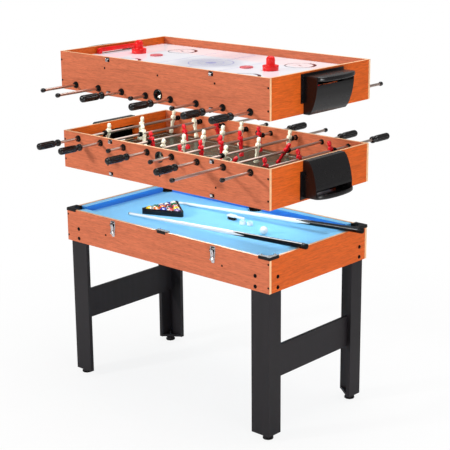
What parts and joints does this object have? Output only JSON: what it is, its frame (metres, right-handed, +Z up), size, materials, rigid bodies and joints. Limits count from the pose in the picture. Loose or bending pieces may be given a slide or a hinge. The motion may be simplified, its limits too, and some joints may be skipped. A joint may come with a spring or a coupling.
{
  "type": "multi game table",
  "caption": "Multi game table: billiard base on legs, and a double-sided foosball and hockey box drawn twice, lifted off it",
  "frame": {"origin": "on the floor, under the middle of the whole outline; the table itself stands 26 mm forward of it, as the rods reach further behind", "axes": "+X along the table towards the right-hand end, +Y across it towards the back, +Z up"},
  "size_m": [1.414, 1.309, 1.5443],
  "materials": {
    "cherry_laminate": "cherry-toned wood-grain laminate, satin",
    "charcoal_laminate": "charcoal laminate on board, matt",
    "blue_cloth": "sky-blue playing cloth",
    "black_plastic": "black moulded plastic, light texture",
    "chromed_steel": "nickel-bright sheet steel",
    "rod_steel": "bright drawn steel, with plastic players and grips",
    "ball_resin": "polished cast resin",
    "shaft_lacquer": "lacquered wooden shaft, black butt",
    "pale_chalk": "dry pressed chalk",
    "brush_lacquer": "white lacquered brush back",
    "red_plastic": "red injection-moulded plastic",
    "field_print": "dark printed field on board",
    "hockey_print": "white printed gloss laminate on board"
  },
  "bodies": {
    "base": {"base_front_rail": "cherry_laminate", "base_back_rail": "cherry_laminate", "base_left_rail": "cherry_laminate", "base_right_rail": "cherry_laminate", "billiard_bed": "blue_cloth", "pocket_front_left": "black_plastic", "pocket_front_middle": "black_plastic", "pocket_front_right": "black_plastic", "pocket_back_left": "black_plastic", "pocket_back_middle": "black_plastic", "pocket_back_right": "black_plastic", "leg_front_left": "charcoal_laminate", "leg_front_right": "charcoal_laminate", "leg_back_left": "charcoal_laminate", "leg_back_right": "charcoal_laminate", "stretcher_left": "charcoal_laminate", "stretcher_right": "charcoal_laminate"},
    "latch_left": {"latch_lever_left": "chromed_steel"},
    "latch_right": {"latch_lever_right": "chromed_steel"},
    "racked_balls": {"racked_balls": "ball_resin"},
    "ball_rack": {"ball_rack": "black_plastic"},
    "cue_ball": {"cue_ball": "ball_resin"},
    "cue_front": {"cue_front": "shaft_lacquer"},
    "cue_back": {"cue_back": "shaft_lacquer"},
    "chalk": {"chalk_cube": "pale_chalk"},
    "brush": {"table_brush": "brush_lacquer"},
    "foosball_box": {"foosball_front_panel": "cherry_laminate", "foosball_back_panel": "cherry_laminate", "foosball_left_panel": "cherry_laminate", "foosball_right_panel": "cherry_laminate", "foosball_deck": "field_print", "foosball_left_goal_box": "black_plastic", "foosball_right_goal_box": "black_plastic"},
    "hockey_box": {"hockey_front_panel": "cherry_laminate", "hockey_back_panel": "cherry_laminate", "hockey_left_panel": "cherry_laminate", "hockey_right_panel": "cherry_laminate", "hockey_deck": "hockey_print", "hockey_left_goal_box": "black_plastic", "hockey_right_goal_box": "black_plastic"},
    "pusher_left": {"pusher_left": "red_plastic"},
    "pusher_right": {"pusher_right": "red_plastic"},
    "puck_left": {"puck_left": "red_plastic"},
    "puck_right": {"puck_right": "red_plastic"},
    "bumper_1": {"bumper_1": "black_plastic"},
    "rod_1": {"rod_1": "rod_steel"},
    "bumper_2": {"bumper_2": "black_plastic"},
    "rod_2": {"rod_2": "rod_steel"},
    "bumper_3": {"bumper_3": "black_plastic"},
    "rod_3": {"rod_3": "rod_steel"},
    "bumper_4": {"bumper_4": "black_plastic"},
    "rod_4": {"rod_4": "rod_steel"},
    "bumper_5": {"bumper_5": "black_plastic"},
    "rod_5": {"rod_5": "rod_steel"},
    "bumper_6": {"bumper_6": "black_plastic"},
    "rod_6": {"rod_6": "rod_steel"},
    "bumper_7": {"bumper_7": "black_plastic"},
    "rod_7": {"rod_7": "rod_steel"},
    "bumper_8": {"bumper_8": "black_plastic"},
    "rod_8": {"rod_8": "rod_steel"}
  },
  "joints": [
    {"name": "foosball_box_lift", "type": "slide", "parent": "base", "child": "foosball_box", "axis": [0, 0, 1], "range_m": [-0.155, 0]},
    {"name": "hockey_box_lift", "type": "slide", "parent": "foosball_box", "child": "hockey_box", "axis": [0, 0, 1], "range_m": [-0.095, 0.2]},
    {"name": "latch_left_hinge", "type": "hinge", "parent": "base", "child": "latch_left", "pos_m": [-0.3, -0.3577, 0.776], "axis": [-1, 0, 0], "range_deg": [0, 100]},
    {"name": "latch_right_hinge", "type": "hinge", "parent": "base", "child": "latch_right", "pos_m": [0.3, -0.3577, 0.776], "axis": [-1, 0, 0], "range_deg": [0, 100]},
    {"name": "racked_balls_slide", "type": "slide", "parent": "base", "child": "racked_balls", "axis": [1, 0, 0], "range_m": [-0.15, 0.18]},
    {"name": "ball_rack_lift", "type": "slide", "parent": "racked_balls", "child": "ball_rack", "axis": [0, 0, 1], "range_m": [0, 0.1]},
    {"name": "cue_ball_slide", "type": "slide", "parent": "base", "child": "cue_ball", "axis": [1, 0, 0], "range_m": [-0.2, 0.2]},
    {"name": "cue_front_lift", "type": "slide", "parent": "base", "child": "cue_front", "axis": [0, 0, 1], "range_m": [0, 0.1]},
    {"name": "cue_back_lift", "type": "slide", "parent": "base", "child": "cue_back", "axis": [0, 0, 1], "range_m": [0, 0.1]},
    {"name": "chalk_lift", "type": "slide", "parent": "base", "child": "chalk", "axis": [0, 0, 1], "range_m": [0, 0.12]},
    {"name": "brush_lift", "type": "slide", "parent": "base", "child": "brush", "axis": [0, 0, 1], "range_m": [0, 0.12]},
    {"name": "rod_1_slide", "type": "slide", "parent": "foosball_box", "child": "bumper_1", "axis": [0, 1, 0], "range_m": [-0.13565, 0.00565]},
    {"name": "rod_1_spin", "type": "hinge", "parent": "bumper_1", "child": "rod_1", "pos_m": [-0.5075, 0.0388, 1.136], "axis": [0, 1, 0], "continuous": true},
    {"name": "rod_2_slide", "type": "slide", "parent": "foosball_box", "child": "bumper_2", "axis": [0, 1, 0], "range_m": [-0.21739, 0.00906]},
    {"name": "rod_2_spin", "type": "hinge", "parent": "bumper_2", "child": "rod_2", "pos_m": [-0.3625, 0.07797, 1.136], "axis": [0, 1, 0], "continuous": true},
    {"name": "rod_3_slide", "type": "slide", "parent": "foosball_box", "child": "bumper_3", "axis": [0, 1, 0], "range_m": [-0.12858, 0.01272]},
    {"name": "rod_3_spin", "type": "hinge", "parent": "bumper_3", "child": "rod_3", "pos_m": [-0.2175, 0.03173, 1.136], "axis": [0, 1, 0], "continuous": true},
    {"name": "rod_4_slide", "type": "slide", "parent": "foosball_box", "child": "bumper_4", "axis": [0, 1, 0], "range_m": [-0.0497, 0.0071]},
    {"name": "rod_4_spin", "type": "hinge", "parent": "bumper_4", "child": "rod_4", "pos_m": [-0.0725, -0.0049, 1.136], "axis": [0, 1, 0], "continuous": true},
    {"name": "rod_5_slide", "type": "slide", "parent": "foosball_box", "child": "bumper_5", "axis": [0, 1, 0], "range_m": [-0.00852, 0.04828]},
    {"name": "rod_5_spin", "type": "hinge", "parent": "bumper_5", "child": "rod_5", "pos_m": [0.0725, -0.04608, 1.136], "axis": [0, 1, 0], "continuous": true},
    {"name": "rod_6_slide", "type": "slide", "parent": "foosball_box", "child": "bumper_6", "axis": [0, 1, 0], "range_m": [-0.12576, 0.01554]},
    {"name": "rod_6_spin", "type": "hinge", "parent": "bumper_6", "child": "rod_6", "pos_m": [0.2175, 0.02891, 1.136], "axis": [0, 1, 0], "continuous": true},
    {"name": "rod_7_slide", "type": "slide", "parent": "foosball_box", "child": "bumper_7", "axis": [0, 1, 0], "range_m": [-0.00906, 0.21739]},
    {"name": "rod_7_spin", "type": "hinge", "parent": "bumper_7", "child": "rod_7", "pos_m": [0.3625, -0.13037, 1.136], "axis": [0, 1, 0], "continuous": true},
    {"name": "rod_8_slide", "type": "slide", "parent": "foosball_box", "child": "bumper_8", "axis": [0, 1, 0], "range_m": [-0.05087, 0.09043]},
    {"name": "rod_8_spin", "type": "hinge", "parent": "bumper_8", "child": "rod_8", "pos_m": [0.5075, -0.04598, 1.136], "axis": [0, 1, 0], "continuous": true},
    {"name": "pusher_left_slide", "type": "slide", "parent": "hockey_box", "child": "pusher_left", "axis": [1, 0, 0], "range_m": [-0.08, 0.05]},
    {"name": "pusher_right_slide", "type": "slide", "parent": "hockey_box", "child": "pusher_right", "axis": [1, 0, 0], "range_m": [-0.04, 0.2]},
    {"name": "puck_left_slide", "type": "slide", "parent": "hockey_box", "child": "puck_left", "axis": [1, 0, 0], "range_m": [-0.03, 0.22]},
    {"name": "puck_right_slide", "type": "slide", "parent": "hockey_box", "child": "puck_right", "axis": [1, 0, 0], "range_m": [-0.25, 0.03]}
  ]
}
